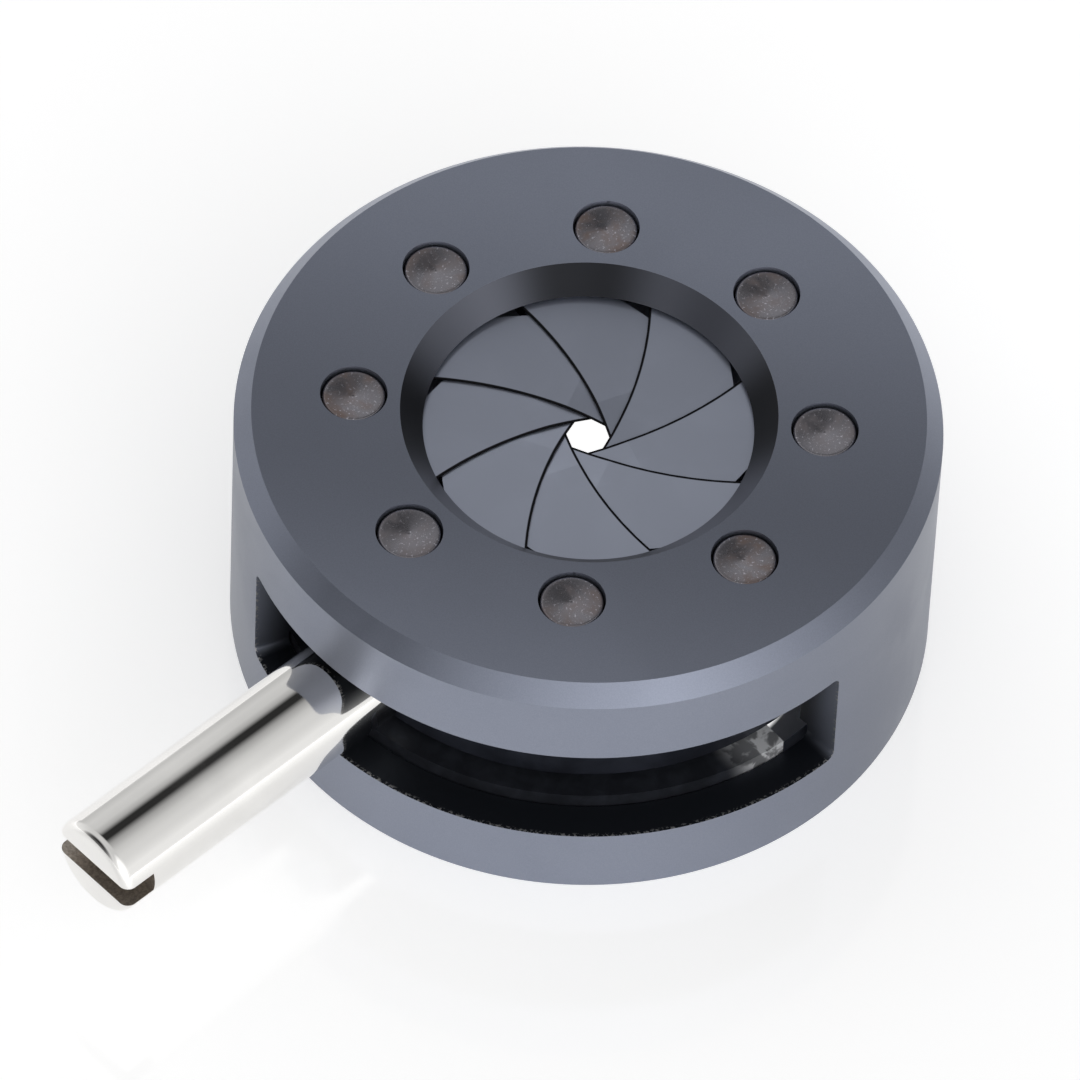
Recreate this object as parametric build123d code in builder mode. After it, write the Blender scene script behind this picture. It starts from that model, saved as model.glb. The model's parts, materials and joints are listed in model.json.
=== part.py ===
from build123d import *
import os
from math import acos, asin, atan2, cos, degrees, hypot, radians, sin, sqrt

# Iris diaphragm: a round housing with a front plate, eight interleaved leaves that pivot on
# pins in that plate, a drive ring with cam slots under them, a lever in the ring that comes out
# through a side window, and a snap ring that holds the drive ring in from the rear.
# Millimetres. Z is the optical axis, z = 0 is the rear face, and the pin face looks along +Z.

# Driving dimensions: housing
housing_diameter = 22.0
housing_height = 9.8
side_wall = 1.5
front_plate = 0.8
clear_aperture = 10.28
bore_flare = 0.72
face_chamfer_radial = 0.54
face_chamfer_axial = 0.63
rear_edge_break = 0.15
window_start_angle = -146.6
window_sweep = 113.2
window_corner = 0.3
window_room_above = 0.25
window_room_below = 0.55

# Driving dimensions: leaves
leaf_count = 8
leaf_thickness = 0.03
leaf_gap = 0.01
first_leaf_angle = 29.0
edge_radius = 12.1
rest_aperture = 1.25
pivot_radius = 7.31
pivot_setback = 1.19
ear_radius = 1.0
tip_radius = 0.85
back_radius = 8.7
edge_cover = 0.62
tip_blend = 3.6
tip_cover = -0.305
leaf_span = 188.3
open_margin = 0.02
closing_turn = 2.0

# Driving dimensions: folds of a leaf. Places are shares of the pivots' radius, rises are
# counted in leaf pitches, and the end slope is in leaf pitches per millimetre.
fold_direction = 96.0
fold_middle_half = 1.0
fold_tip_place = 0.615
fold_root_place = 0.684
fold_spare = 1.04
fold_tip_rise = 5.46
fold_root_rise = 4.26
fold_end_slope = 1.078

# Driving dimensions: pins
pivot_head_diameter = 1.96
pivot_side_gap = 0.07
pivot_head_recess = 0.12
pivot_head_chamfer = 0.11
pivot_neck_diameter = 0.9
drive_pin_diameter = 0.9
drive_neck_diameter = 0.7
staked_gap = 0.01
slot_side_gap = 0.05
slot_overrun = 0.6
slot_runs = 8

# Driving dimensions: drive ring, lever and snap ring
flange_thickness = 0.95
flange_cover = 0.16
skirt_wall = 1.5
skirt_relief = 0.35
band_room = 0.11
ring_edge_break = 0.12
running_gap = 0.05
stack_gap = 0.03
lever_diameter = 3.3
lever_reach = 20.7
lever_axis_height = 4.75
lever_angle = -125.3
lever_end_round = 0.32
lever_slot_width = 0.85
lever_slot_depth = 1.1
lever_shank_diameter = 2.0
thread_gap = 0.02
spot_face_gap = 0.05
spot_face_depth = 0.15
snap_ring_thickness = 0.6
snap_ring_width = 1.3
snap_ring_end = -39.1
snap_ring_gap = 26.0
groove_depth = 0.35
groove_side_gap = 0.03

# Radii and heights worked out from the driving dimensions
outer_radius = housing_diameter / 2
cavity_radius = outer_radius - side_wall
bore_radius = clear_aperture / 2
open_aperture = clear_aperture - 2 * open_margin
plate_under = housing_height - front_plate
leaf_step = 360 / leaf_count
leaf_pitch = leaf_thickness + leaf_gap

lever_under = lever_axis_height - lever_diameter / 2
window_bottom = lever_under - window_room_below
window_top = lever_axis_height + lever_diameter / 2 + window_room_above
snap_ring_top = lever_under - running_gap
groove_top = snap_ring_top + groove_side_gap
groove_bottom = groove_top - snap_ring_thickness - 2 * groove_side_gap
groove_radius = cavity_radius + groove_depth
snap_ring_outer = groove_radius - running_gap


def at(radius, angle):
    """The point at a radius and an angle in degrees about the origin."""
    return (radius * cos(radians(angle)), radius * sin(radians(angle)))


def turned(point, centre, angle):
    """A point turned about a centre by an angle in degrees."""
    dx, dy = point[0] - centre[0], point[1] - centre[1]
    c, s = cos(radians(angle)), sin(radians(angle))
    return (centre[0] + c * dx - s * dy, centre[1] + s * dx + c * dy)


def heading(start, end):
    """The direction from one point to another, in degrees."""
    return degrees(atan2(end[1] - start[1], end[0] - start[0]))


def on_circle(centre, radius, angle):
    """The point of a circle that lies in a given direction from its centre."""
    return (centre[0] + radius * cos(radians(angle)), centre[1] + radius * sin(radians(angle)))


def middle_angle(first, last):
    """The angle halfway round an arc that runs clockwise from first to last."""
    return first - (first - last) % 360 / 2


def touch_point(point, centre, radius, side):
    """Where a straight line from a point touches a circle, left of its centre for 1 and right for -1."""
    away = hypot(centre[0] - point[0], centre[1] - point[1])
    aim = heading(point, centre) + side * degrees(asin(radius / away))
    return on_circle(point, sqrt(away**2 - radius**2), aim)


def corner_angle(opposite, side_a, side_b):
    """The angle of a triangle, in degrees, opposite its first side."""
    return degrees(acos((side_a**2 + side_b**2 - opposite**2) / (2 * side_a * side_b)))


# The leaf's own frame: its edge comes nearest to the optical axis on the local x axis.
# The triangle of optical axis, pivot and centre of the edge's arc gives the pivot's place
# and how far the leaf swings between the rest and the fully open aperture.
rest_centre_distance = edge_radius - rest_aperture / 2
open_centre_distance = edge_radius - open_aperture / 2
pivot_to_centre = edge_radius - pivot_setback
pivot_angle = 180 - corner_angle(pivot_to_centre, pivot_radius, rest_centre_distance)
open_swing = corner_angle(rest_centre_distance, pivot_radius, pivot_to_centre) - corner_angle(
    open_centre_distance, pivot_radius, pivot_to_centre
)
axis_point = (0.0, 0.0)
edge_centre = (-rest_centre_distance, 0.0)
pivot_point = at(pivot_radius, pivot_angle)

# The tip lies round the drive pin, just outside the circle that the leaves cover at rest
cover_radius = bore_radius + edge_cover
drive_point = at(cover_radius + tip_cover + tip_radius, pivot_angle - leaf_span)
ring_turn = heading(axis_point, turned(drive_point, pivot_point, open_swing)) - heading(axis_point, drive_point)
swing_ratio = open_swing / ring_turn

# Outline of the leaf: hollow inner edge, ear round the pivot, back edge, tip round the drive pin
ear_start_angle = corner_angle(cover_radius, edge_radius, rest_centre_distance)
tip_start_angle = -degrees(asin(tip_blend / edge_radius))
ear_start = on_circle(edge_centre, edge_radius, ear_start_angle)
tip_start = on_circle(edge_centre, edge_radius, tip_start_angle)
ear_touch = touch_point(ear_start, pivot_point, ear_radius, 1)
tip_touch = touch_point(tip_start, drive_point, tip_radius, -1)
pivot_to_drive = hypot(drive_point[0] - pivot_point[0], drive_point[1] - pivot_point[1])
back_aim = heading(pivot_point, drive_point) - corner_angle(
    back_radius - tip_radius, back_radius - ear_radius, pivot_to_drive
)
back_centre = on_circle(pivot_point, back_radius - ear_radius, back_aim)
ear_end_angle = heading(back_centre, pivot_point)
tip_end_angle = heading(back_centre, drive_point)

# Folds of the leaf. Every leaf rises from tip to root, so each one passes over the next at its
# root and under it at its tip. The slope is steepest at the smallest aperture, where the edges
# of two neighbours cross closest to the axis.
closest_centre = hypot(*turned(edge_centre, pivot_point, -closing_turn * swing_ratio))
smallest_aperture = 2 * (edge_radius - closest_centre)
corner_radius = smallest_aperture / 2 / cos(radians(leaf_step / 2))
corner_step = 2 * sin(radians(leaf_step / 2)) * corner_radius
middle_rise = fold_spare * leaf_pitch * fold_middle_half / corner_step
tip_fold = fold_tip_place * pivot_radius
root_fold = fold_root_place * pivot_radius
tip_drop = middle_rise + fold_tip_rise * leaf_pitch
root_rise = middle_rise + fold_root_rise * leaf_pitch
end_rise = root_rise + fold_end_slope * leaf_pitch * (cavity_radius - root_fold)
fold_heights = [
    (-cavity_radius, -tip_drop),
    (-tip_fold, -tip_drop),
    (-fold_middle_half, -middle_rise),
    (fold_middle_half, middle_rise),
    (root_fold, root_rise),
    (cavity_radius, end_rise),
]


def fold_at(distance):
    """Height of the leaf's middle surface above its centre, at a distance along the fold direction."""
    for (near, low), (far, high) in zip(fold_heights, fold_heights[1:]):
        if distance <= far:
            return low + (high - low) * (distance - near) / (far - near)
    return end_rise


def along_fold(point):
    """Distance of a point of the leaf from its centre along the fold direction."""
    return point[0] * cos(radians(fold_direction)) + point[1] * sin(radians(fold_direction))


sheet_room = tip_drop + end_rise
root_reach = along_fold(pivot_point) + ear_radius
leaf_centre = plate_under - stack_gap - leaf_thickness / 2 - fold_at(root_reach)
root_under = leaf_centre + fold_at(along_fold(pivot_point)) - leaf_thickness / 2
tip_under = leaf_centre - tip_drop - leaf_thickness / 2
tip_top = tip_under + leaf_thickness
ring_top = tip_under - 2 * stack_gap
flange_under = ring_top - flange_thickness

ring_outer = cavity_radius - running_gap
skirt_outer = ring_outer - skirt_relief
skirt_inner = skirt_outer - skirt_wall
flange_inner = bore_radius + flange_cover
skirt_bottom = snap_ring_top + running_gap
spot_face_radius = lever_diameter / 2 + spot_face_gap
skirt_top = lever_axis_height + spot_face_radius + band_room
lever_seat = skirt_outer - spot_face_depth
drive_pin_bottom = flange_under + running_gap

leaf_angles = [first_leaf_angle + leaf_step * n for n in range(leaf_count)]


def leaf_plane(angle, height):
    """The plane of a leaf's own frame at a height."""
    return Plane(origin=(0, 0, height), x_dir=(*at(1, angle), 0), z_dir=(0, 0, 1))


def upright_plane(angle, place=(0, 0), height=0):
    """An upright plane through a place: local x points outwards at an angle, local y up."""
    return Plane(origin=(*place, height), x_dir=(*at(1, angle), 0), z_dir=(*at(-1, angle + 90), 0))


lever_seat_plane = Plane(
    origin=(*at(lever_seat, lever_angle), lever_axis_height),
    x_dir=(*at(1, lever_angle + 90), 0),
    z_dir=(*at(1, lever_angle), 0),
)


def drive_path(swing):
    """Where the drive pin stands in the ring's own frame after a swing of the leaf."""
    return turned(turned(drive_point, pivot_point, swing), axis_point, -swing / swing_ratio)


def slot_path():
    """Points along the middle of one cam slot, which runs on past both ends of the drive pin's travel."""
    first = -(closing_turn + slot_overrun) * swing_ratio
    last = open_swing + slot_overrun * swing_ratio
    return [drive_path(first + (last - first) * n / slot_runs) for n in range(slot_runs + 1)]


# Housing: one turned shell with the front plate, the pin holes, the lever's window
# and the groove for the snap ring
with BuildPart() as housing:
    with BuildSketch(Plane.XZ):
        with BuildLine():
            Polyline(
                (cavity_radius + rear_edge_break, 0),
                (outer_radius - rear_edge_break, 0),
                (outer_radius, rear_edge_break),
                (outer_radius, housing_height - face_chamfer_axial),
                (outer_radius - face_chamfer_radial, housing_height),
                (bore_radius + bore_flare, housing_height),
                (bore_radius, plate_under),
                (cavity_radius, plate_under),
                (cavity_radius, groove_top),
                (groove_radius, groove_top),
                (groove_radius, groove_bottom),
                (cavity_radius, groove_bottom),
                (cavity_radius, rear_edge_break),
                close=True,
            )
        make_face()
    revolve(axis=Axis.Z)
    with Locations(Plane.XY.offset(housing_height)):
        with PolarLocations(pivot_radius, leaf_count, start_angle=first_leaf_angle + pivot_angle):
            Hole(pivot_head_diameter / 2 + pivot_side_gap, depth=2 * front_plate)
    with BuildSketch(upright_plane(window_start_angle)):
        with Locations(((cavity_radius + outer_radius) / 2, (window_bottom + window_top) / 2)):
            Rectangle(side_wall + 2 * groove_depth, window_top - window_bottom)
    revolve(axis=Axis.Z, revolution_arc=window_sweep, mode=Mode.SUBTRACT)
    window_edges = housing.edges().filter_by(GeomType.LINE).filter_by(
        lambda e: window_bottom - 0.01 < e.center().Z < window_bottom + 0.01
        or window_top - 0.01 < e.center().Z < window_top + 0.01
    )
    fillet(window_edges, radius=window_corner)

# Snap ring: an open flat ring, sprung into the groove
with BuildPart() as snap_ring:
    with BuildSketch(upright_plane(snap_ring_end + snap_ring_gap)):
        with Locations((snap_ring_outer - snap_ring_width / 2, snap_ring_top - snap_ring_thickness / 2)):
            Rectangle(snap_ring_width, snap_ring_thickness)
    revolve(axis=Axis.Z, revolution_arc=360 - snap_ring_gap)

# Drive ring: a slotted flange that carries the leaves, a guide band that turns in the
# housing, and a relieved skirt that takes the lever
with BuildPart() as drive_ring:
    with BuildSketch(Plane.XZ):
        with BuildLine():
            Polyline(
                (flange_inner, flange_under),
                (flange_inner, ring_top - ring_edge_break),
                (flange_inner + ring_edge_break, ring_top),
                (ring_outer - ring_edge_break, ring_top),
                (ring_outer, ring_top - ring_edge_break),
                (ring_outer, skirt_top + skirt_relief),
                (skirt_outer, skirt_top),
                (skirt_outer, skirt_bottom + ring_edge_break),
                (skirt_outer - ring_edge_break, skirt_bottom),
                (skirt_inner + ring_edge_break, skirt_bottom),
                (skirt_inner, skirt_bottom + ring_edge_break),
                (skirt_inner, flange_under),
                close=True,
            )
        make_face()
    revolve(axis=Axis.Z)
    path = slot_path()
    for angle in leaf_angles:
        with BuildSketch(leaf_plane(angle, ring_top)):
            for start, end in zip(path, path[1:]):
                with Locations(((start[0] + end[0]) / 2, (start[1] + end[1]) / 2)):
                    SlotCenterToCenter(
                        hypot(end[0] - start[0], end[1] - start[1]),
                        drive_pin_diameter + 2 * slot_side_gap,
                        rotation=heading(start, end),
                    )
        extrude(amount=-flange_thickness, mode=Mode.SUBTRACT)
    with BuildSketch(lever_seat_plane):
        Circle(spot_face_radius)
    extrude(amount=2 * side_wall, mode=Mode.SUBTRACT)
    with BuildSketch(lever_seat_plane):
        Circle(lever_shank_diameter / 2)
    extrude(amount=-2 * skirt_wall, mode=Mode.SUBTRACT)

# Lever: a polished rod with a screwdriver slot across its free end and a shank screwed
# into the skirt of the ring
with BuildPart() as lever_rod:
    with BuildSketch(lever_seat_plane):
        Circle(lever_diameter / 2)
    extrude(amount=lever_reach - lever_seat)
    fillet(lever_rod.faces().sort_by(Axis((0, 0, 0), (*at(1, lever_angle), 0)))[-1].edges(), lever_end_round)
    with BuildSketch(lever_seat_plane.offset(lever_reach - lever_seat)):
        Rectangle(2 * lever_diameter, lever_slot_width)
    extrude(amount=-lever_slot_depth, mode=Mode.SUBTRACT)
    with BuildSketch(lever_seat_plane):
        Circle(lever_shank_diameter / 2 - thread_gap)
    extrude(amount=-(skirt_wall - spot_face_depth - ring_edge_break))


def make_blade(angle):
    """One leaf: a crescent of thin sheet, folded along straight lines, with a hole for each pin."""
    with BuildPart() as blade:
        with BuildSketch(leaf_plane(angle, leaf_centre - sheet_room)):
            with BuildLine():
                edge_middle = middle_angle(ear_start_angle, tip_start_angle)
                ThreePointArc(tip_start, on_circle(edge_centre, edge_radius, edge_middle), ear_start)
                Line(ear_start, ear_touch)
                ear_middle = middle_angle(heading(pivot_point, ear_touch), ear_end_angle)
                ear_end = on_circle(pivot_point, ear_radius, ear_end_angle)
                ThreePointArc(ear_touch, on_circle(pivot_point, ear_radius, ear_middle), ear_end)
                back_middle = middle_angle(ear_end_angle, tip_end_angle)
                tip_end = on_circle(drive_point, tip_radius, tip_end_angle)
                ThreePointArc(ear_end, on_circle(back_centre, back_radius, back_middle), tip_end)
                tip_middle = middle_angle(tip_end_angle, heading(drive_point, tip_touch))
                ThreePointArc(tip_end, on_circle(drive_point, tip_radius, tip_middle), tip_touch)
                Line(tip_touch, tip_start)
            make_face()
        extrude(amount=2 * sheet_room)
        with BuildSketch(upright_plane(angle + fold_direction, height=leaf_centre)):
            with BuildLine():
                upper = [(along, rise + leaf_thickness / 2) for along, rise in fold_heights]
                lower = [(along, rise - leaf_thickness / 2) for along, rise in fold_heights]
                Polyline(*upper, *lower[::-1], close=True)
            make_face()
        extrude(amount=cavity_radius, both=True, mode=Mode.INTERSECT)
        with BuildSketch(leaf_plane(angle, leaf_centre - sheet_room)):
            with Locations(pivot_point):
                Circle(pivot_neck_diameter / 2 + staked_gap)
            with Locations(drive_point):
                Circle(drive_neck_diameter / 2 + staked_gap)
        extrude(amount=2 * sheet_room, mode=Mode.SUBTRACT)
    return blade.part


def make_pivot_pin(angle):
    """The pin that a leaf swings on: its head turns in the front plate, its neck is staked in the leaf."""
    place = at(pivot_radius, angle + pivot_angle)
    head_top = housing_height - pivot_head_recess
    head_radius = pivot_head_diameter / 2
    with BuildPart() as pin:
        with BuildSketch(upright_plane(angle + pivot_angle, place)):
            with BuildLine():
                Polyline(
                    (0, root_under),
                    (pivot_neck_diameter / 2, root_under),
                    (pivot_neck_diameter / 2, plate_under),
                    (head_radius, plate_under),
                    (head_radius, head_top - pivot_head_chamfer),
                    (head_radius - pivot_head_chamfer, head_top),
                    (0, head_top),
                    close=True,
                )
            make_face()
        revolve(axis=Axis((*place, 0), (0, 0, 1)))
    return pin.part


def make_drive_pin(angle):
    """The pin under a leaf's tip: its neck is staked in the leaf and its body rides in a cam slot."""
    place = turned(drive_point, axis_point, angle)
    shoulder = tip_under - staked_gap
    with BuildPart() as pin:
        with BuildSketch(upright_plane(angle, place)):
            with BuildLine():
                Polyline(
                    (0, drive_pin_bottom),
                    (drive_pin_diameter / 2, drive_pin_bottom),
                    (drive_pin_diameter / 2, shoulder),
                    (drive_neck_diameter / 2, shoulder),
                    (drive_neck_diameter / 2, tip_top),
                    (0, tip_top),
                    close=True,
                )
            make_face()
        revolve(axis=Axis((*place, 0), (0, 0, 1)))
    return pin.part


# Every piece is written to its own file, named after the piece
pieces = {
    "housing": housing.part,
    "snap_ring": snap_ring.part,
    "drive_ring": drive_ring.part,
    "lever_rod": lever_rod.part,
}
for number, angle in enumerate(leaf_angles, start=1):
    pieces[f"blade_{number}"] = make_blade(angle)
    pieces[f"pivot_pin_{number}"] = make_pivot_pin(angle)
    pieces[f"drive_pin_{number}"] = make_drive_pin(angle)

os.makedirs("parts", exist_ok=True)
for name, piece in pieces.items():
    piece.label = name
    export_step(piece, f"parts/{name}.step")

print(f"Pivot pins at radius {pivot_radius}, first at {first_leaf_angle + pivot_angle:.4f} degrees")
print(f"Leaf swing {open_swing:.4f}, ring turn {ring_turn:.4f}, leaf per ring {swing_ratio:.8f}")
print(f"Aperture at rest {rest_aperture}, smallest {smallest_aperture:.3f}, open {open_aperture:.2f}")
print(f"Leaf centre {leaf_centre:.3f}, ring top {ring_top:.3f}, flange under {flange_under:.3f}")
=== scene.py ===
import json
from math import copysign, cos, pi, radians, sin, tau

import bmesh
import bpy
from bpy.props import FloatProperty, FloatVectorProperty, IntProperty, PointerProperty
from mathutils import Matrix, Vector


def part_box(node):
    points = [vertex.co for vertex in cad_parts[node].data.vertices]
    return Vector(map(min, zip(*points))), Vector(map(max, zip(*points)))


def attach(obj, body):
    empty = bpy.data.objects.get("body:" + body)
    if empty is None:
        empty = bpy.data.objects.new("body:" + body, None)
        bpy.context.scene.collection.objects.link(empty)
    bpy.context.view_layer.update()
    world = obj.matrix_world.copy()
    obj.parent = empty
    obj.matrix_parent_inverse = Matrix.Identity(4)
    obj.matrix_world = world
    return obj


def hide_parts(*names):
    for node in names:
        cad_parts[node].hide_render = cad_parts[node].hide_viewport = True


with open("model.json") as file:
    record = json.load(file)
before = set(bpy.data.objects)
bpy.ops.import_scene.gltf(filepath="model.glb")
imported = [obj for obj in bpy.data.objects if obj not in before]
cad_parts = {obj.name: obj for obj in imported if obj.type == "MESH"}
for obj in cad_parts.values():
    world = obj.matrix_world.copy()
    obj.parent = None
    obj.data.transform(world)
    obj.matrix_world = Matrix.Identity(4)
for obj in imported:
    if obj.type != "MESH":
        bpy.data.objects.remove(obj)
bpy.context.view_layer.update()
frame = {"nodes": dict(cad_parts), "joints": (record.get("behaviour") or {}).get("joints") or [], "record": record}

bl_info = {
    "name": "Iris Diaphragm",
    "version": (1, 0, 0),
    "blender": (4, 5, 0),
    "location": "View3D > Sidebar > Iris",
    "description": "Finishes an iris diaphragm: housing, leaves on pins, drive ring, lever and stage",
    "category": "Object",
}

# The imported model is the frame: its boxes give the sizes that the pieces have to keep
HOUSING_LOW, HOUSING_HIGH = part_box("housing")
LEVER_LOW, LEVER_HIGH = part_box("lever_rod")
RING_LOW, RING_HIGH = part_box("drive_ring")
SNAP_LOW, SNAP_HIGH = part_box("snap_ring")
PIN_LOW, PIN_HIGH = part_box("pivot_pin_1")
LEAF_COUNT = sum(name.startswith("blade_") for name in frame["nodes"])
LEAF_STEP = tau / LEAF_COUNT


def hinge_place(joint_name):
    """The place of a joint of the frame."""
    return next(Vector(joint["pos_m"]) for joint in frame["joints"] if joint["name"] == joint_name)


def box_middle(node):
    """The middle of a node's box."""
    low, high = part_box(node)
    return (low + high) / 2


def lever_direction():
    """The direction in which the lever stands out from the barrel."""
    mounts = frame["record"]["mounts"]
    return next(Vector(mount["axis"]) for mount in mounts if mount["name"] == "lever").normalized()


class HousingSizes(bpy.types.PropertyGroup):
    """Sizes of the turned housing."""
    outer_radius: FloatProperty(
        name="Outer Radius", description="Radius of the barrel", default=HOUSING_HIGH.x, unit="LENGTH",
    )
    height: FloatProperty(
        name="Height", description="From the rear face to the pin face",
        default=HOUSING_HIGH.z, unit="LENGTH",
    )
    side_wall: FloatProperty(
        name="Side Wall", description="Thickness of the barrel's wall", default=0.0015, unit="LENGTH",
    )
    front_plate: FloatProperty(
        name="Front Plate", description="Thickness of the plate with the pin holes",
        default=0.0008, unit="LENGTH",
    )
    bore_radius: FloatProperty(
        name="Bore Radius", description="Radius of the bore at the leaves", default=0.00514, unit="LENGTH",
    )
    bore_flare: FloatProperty(
        name="Bore Flare", description="How much wider the bore is at the face",
        default=0.00072, unit="LENGTH",
    )
    chamfer_radial: FloatProperty(
        name="Chamfer Radial", description="Width of the face chamfer", default=0.00054, unit="LENGTH",
    )
    chamfer_axial: FloatProperty(
        name="Chamfer Axial", description="Height of the face chamfer", default=0.00063, unit="LENGTH",
    )
    groove_depth: FloatProperty(
        name="Groove Depth", description="Depth of the snap ring's groove", default=0.00035, unit="LENGTH",
    )
    groove_gap: FloatProperty(
        name="Groove Gap", description="Side gap of the snap ring in its groove",
        default=0.00003, unit="LENGTH",
    )
    window_start: FloatProperty(
        name="Window Start", description="Where the lever's window begins",
        default=radians(-146.6), unit="ROTATION",
    )
    window_sweep: FloatProperty(
        name="Window Sweep", description="How far the window runs round",
        default=radians(113.2), unit="ROTATION",
    )
    window_low: FloatProperty(
        name="Window Sill", description="Height of the window's lower edge", default=0.00255, unit="LENGTH",
    )
    window_high: FloatProperty(
        name="Window Head", description="Height of the window's upper edge", default=0.00665, unit="LENGTH",
    )
    window_corner: FloatProperty(
        name="Window Corner", description="Radius of the window's corners", default=0.0003, unit="LENGTH",
    )
    pin_hole: FloatProperty(
        name="Pin Hole", description="Radius of a pin hole", default=0.00105, unit="LENGTH",
    )
    edge_break: FloatProperty(
        name="Edge Break", description="Width of the broken edges", default=0.00004, unit="LENGTH",
    )
    around: IntProperty(name="Segments", description="Segments round the barrel", default=240, min=24)


class LeverSizes(bpy.types.PropertyGroup):
    """Sizes of the polished lever."""
    radius: FloatProperty(
        name="Radius", description="Radius of the rod",
        default=(LEVER_HIGH.z - LEVER_LOW.z) / 2, unit="LENGTH",
    )
    seat: FloatProperty(
        name="Seat", description="Distance of the shoulder from the optical axis",
        default=0.00895, unit="LENGTH",
    )
    reach: FloatProperty(
        name="Reach", description="Distance of the free end from the optical axis",
        default=0.0207, unit="LENGTH",
    )
    shank_radius: FloatProperty(
        name="Shank Radius", description="Radius of the shank in the ring", default=0.00098, unit="LENGTH",
    )
    shank_length: FloatProperty(
        name="Shank Length", description="Length of the shank", default=0.00123, unit="LENGTH",
    )
    end_round: FloatProperty(
        name="End Round", description="Radius round the free end", default=0.00032, unit="LENGTH",
    )
    slot_width: FloatProperty(
        name="Slot Width", description="Width of the screwdriver slot", default=0.00085, unit="LENGTH",
    )
    slot_depth: FloatProperty(
        name="Slot Depth", description="Depth of the screwdriver slot", default=0.0011, unit="LENGTH",
    )
    edge_break: FloatProperty(
        name="Edge Break", description="Width of the polished-over edges", default=0.00006, unit="LENGTH",
    )
    around: IntProperty(name="Segments", description="Segments round the rod", default=128, min=16)


class PinSizes(bpy.types.PropertyGroup):
    """Sizes of the pivot pins' heads."""
    rim_round: FloatProperty(
        name="Rim Round", description="Radius round the head's rim", default=0.00008, unit="LENGTH",
    )
    neck_radius: FloatProperty(
        name="Neck Radius", description="Radius of the neck in the leaf", default=0.00045, unit="LENGTH",
    )
    dish: FloatProperty(
        name="Dish", description="How far the head's face is hollowed", default=0.000015, unit="LENGTH",
    )
    mark_radius: FloatProperty(
        name="Centre Mark", description="Radius of the turning centre's mark", default=0.00007, unit="LENGTH",
    )
    around: IntProperty(name="Segments", description="Segments round a pin", default=72, min=16)


class LeafSizes(bpy.types.PropertyGroup):
    """Places on a leaf that its finish follows."""
    edge_radius: FloatProperty(
        name="Edge Radius", description="Radius of a leaf's hollow edge", default=0.0121, unit="LENGTH",
    )
    rest_aperture: FloatProperty(
        name="Rest Aperture", description="Opening between the leaves at rest",
        default=0.00125, unit="LENGTH",
    )
    first_angle: FloatProperty(
        name="First Leaf", description="Direction of the first leaf", default=radians(29.0), unit="ROTATION",
    )
    # Width of the dark line at a leaf's hollow edge: the blackened edge together with painted shade of the gap
    # between leaves
    edge_line: FloatProperty(
        name="Edge Line", description="Width of the blackened sheared edge", default=0.00008, unit="LENGTH",
    )


class Finishes(bpy.types.PropertyGroup):
    """Colours of the finishes, as linear values."""
    shell: FloatVectorProperty(
        name="Shell", description="Slate anodised housing", default=(0.225, 0.245, 0.305), subtype="COLOR",
    )
    # Painted shade: a darker copy of the shell's anodising for the bore, which its fans darken further
    bore: FloatVectorProperty(
        name="Bore", description="The bore's turned slope", default=(0.125, 0.132, 0.16), subtype="COLOR",
    )
    # Near black colour of painted shade on the window's faces
    window: FloatVectorProperty(
        name="Window", description="Milled faces of the window",
        default=(0.018, 0.021, 0.028), subtype="COLOR",
    )
    shell_edge: FloatVectorProperty(
        name="Shell Edge", description="Rubbed edges of the housing",
        default=(0.25, 0.26, 0.30), subtype="COLOR",
    )
    ring: FloatVectorProperty(
        name="Ring", description="Black anodised drive ring", default=(0.03, 0.034, 0.048), subtype="COLOR",
    )
    leaf: FloatVectorProperty(
        name="Leaf", description="Satin leaf sheet", default=(0.38, 0.41, 0.50), subtype="COLOR",
    )
    # Colour of that dark line: blackened edge and painted shade between leaves
    leaf_edge: FloatVectorProperty(
        name="Leaf Edge", description="Blackened leaf edge", default=(0.006, 0.006, 0.008), subtype="COLOR",
    )
    rod: FloatVectorProperty(
        name="Rod", description="Polished steel", default=(0.80, 0.79, 0.77), subtype="COLOR",
    )
    slot: FloatVectorProperty(
        name="Slot", description="Sawn faces of the slot", default=(0.42, 0.375, 0.33), subtype="COLOR",
    )
    pin: FloatVectorProperty(
        name="Pin", description="Ground pin ends", default=(0.23, 0.225, 0.25), subtype="COLOR",
    )
    pin_warm: FloatVectorProperty(
        name="Pin Warm", description="Browned patches on pin ends",
        default=(0.21, 0.16, 0.145), subtype="COLOR",
    )
    spring: FloatVectorProperty(
        name="Pin Steel", description="Drawn steel of the drive pins",
        default=(0.42, 0.42, 0.41), subtype="COLOR",
    )
    spring_black: FloatVectorProperty(
        name="Spring Black", description="Blackened spring steel",
        default=(0.03, 0.033, 0.042), subtype="COLOR",
    )
    # Bright colour of the painted glint at the snap ring's end
    snap_glint: FloatVectorProperty(
        name="Bare Steel", description="Bare steel at the snap ring's end",
        default=(0.75, 0.76, 0.78), subtype="COLOR",
    )


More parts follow.
